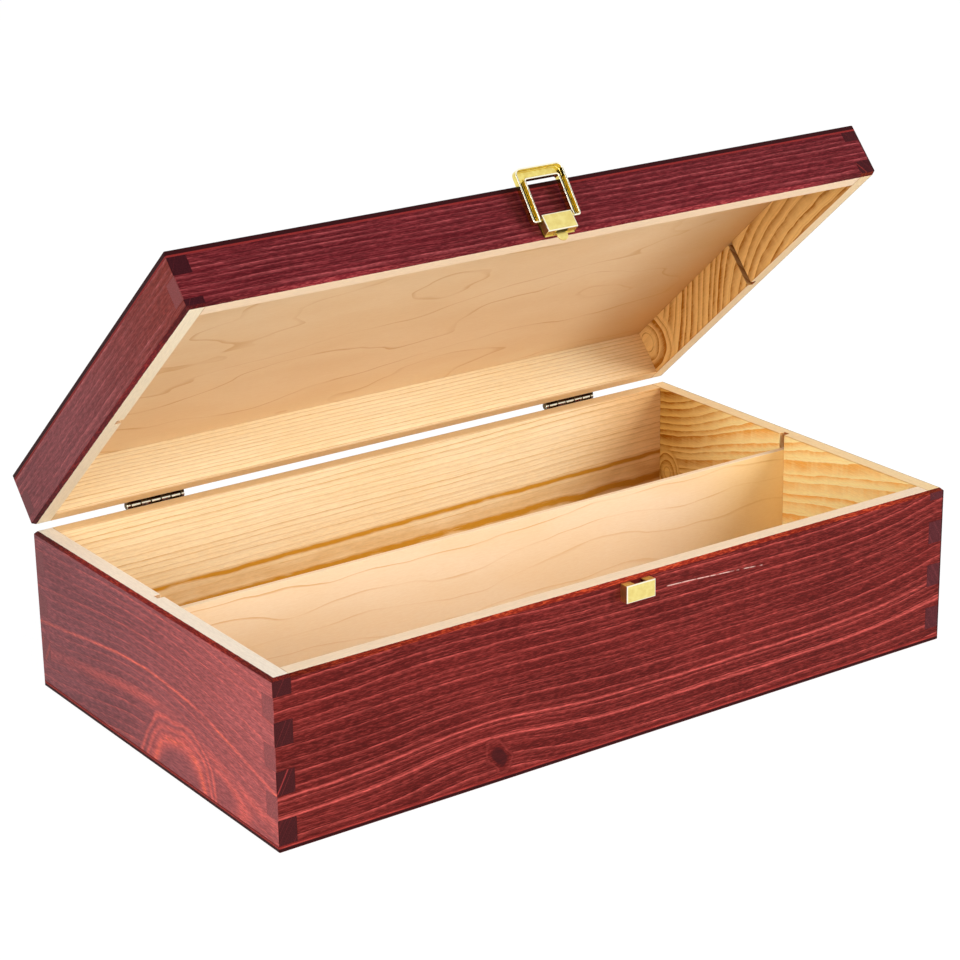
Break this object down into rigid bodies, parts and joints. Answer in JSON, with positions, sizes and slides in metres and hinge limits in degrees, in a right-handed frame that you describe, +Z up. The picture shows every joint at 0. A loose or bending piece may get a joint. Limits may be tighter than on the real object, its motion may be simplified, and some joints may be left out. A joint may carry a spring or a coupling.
{
  "type": "hinged wooden wine box",
  "caption": "Low finger-jointed pine box with a plywood divider, a hinged lid and a brass snap clasp, stained red outside and bare inside.",
  "frame": {"origin": "centre of the underside of the base", "axes": "+X along the front to the right, +Y from the front to the hinged back, +Z up; the lid stands open by 41.4 degrees at rest"},
  "size_m": [0.35, 0.2214, 0.2343],
  "materials": {
    "stained_pine": "satin stain outside, bare pine inside",
    "stained_plywood": "satin stain outside, bare plywood inside",
    "birch_plywood": "bare sanded plywood",
    "antique_brass": "darkened brass with rubbed highlights",
    "satin_brass": "satin brass",
    "polished_brass": "polished brass"
  },
  "bodies": {
    "base": {"base_bottom_panel": "stained_plywood", "base_front_board": "stained_pine", "base_back_board": "stained_pine", "base_left_board": "stained_pine", "base_right_board": "stained_pine", "divider": "birch_plywood", "left_hinge_base_leaf": "antique_brass", "right_hinge_base_leaf": "antique_brass", "base_hinge_screws": "antique_brass", "clasp_keeper": "satin_brass"},
    "lid": {"lid_top_panel": "stained_plywood", "lid_front_board": "stained_pine", "lid_back_board": "stained_pine", "lid_left_board": "stained_pine", "lid_right_board": "stained_pine", "left_hinge_lid_leaf": "antique_brass", "left_hinge_pin": "antique_brass", "right_hinge_lid_leaf": "antique_brass", "right_hinge_pin": "antique_brass", "lid_hinge_screws": "antique_brass", "clasp_housing": "satin_brass", "clasp_tongue": "satin_brass"},
    "clasp": {"clasp_frame": "polished_brass", "clasp_pin": "polished_brass"}
  },
  "joints": [
    {"name": "lid_hinge", "type": "hinge", "parent": "base", "child": "lid", "pos_m": [0, 0.1022, 0.07365], "axis": [-1, 0, 0], "range_deg": [-41.4, 138.6]},
    {"name": "clasp_swing", "type": "hinge", "parent": "lid", "child": "clasp", "pos_m": [-0.0006, -0.04642, 0.21461], "axis": [-1, 0, 0], "range_deg": [-174, 0]}
  ]
}
